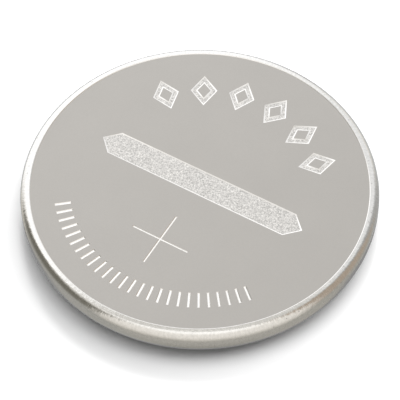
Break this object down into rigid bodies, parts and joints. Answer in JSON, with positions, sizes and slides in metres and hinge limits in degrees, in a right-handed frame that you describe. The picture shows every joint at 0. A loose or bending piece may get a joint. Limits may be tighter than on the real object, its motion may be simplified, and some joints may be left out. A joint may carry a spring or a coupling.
{
  "type": "lithium coin cell",
  "caption": "Round, flat lithium coin cell with a marked positive can crimped over a gasket round a smaller negative cap.",
  "frame": {"origin": "centre of the negative contact face, on which the cell lies", "axes": "+Z out of the positive face; +X the way the face's bar runs; +Y from the plus sign towards the lozenges"},
  "size_m": [0.016, 0.016, 0.002],
  "materials": {
    "can_steel": "satin face with a polished rim, nickel-plated stainless sheet",
    "cap_steel": "fine matte contact face, stainless sheet",
    "gasket_plastic": "moulded polypropylene, natural and slightly translucent",
    "lithium": "soft silvery sheet, slightly dull",
    "separator_felt": "white non-woven plastic fibre",
    "cathode_mix": "pressed matte black powder",
    "ring_steel": "plain stainless sheet"
  },
  "bodies": {
    "root": {"can": "can_steel", "gasket": "gasket_plastic", "cap": "cap_steel", "lithium_anode": "lithium", "separator": "separator_felt", "cathode_pellet": "cathode_mix", "cathode_ring": "ring_steel"}
  },
  "joints": []
}
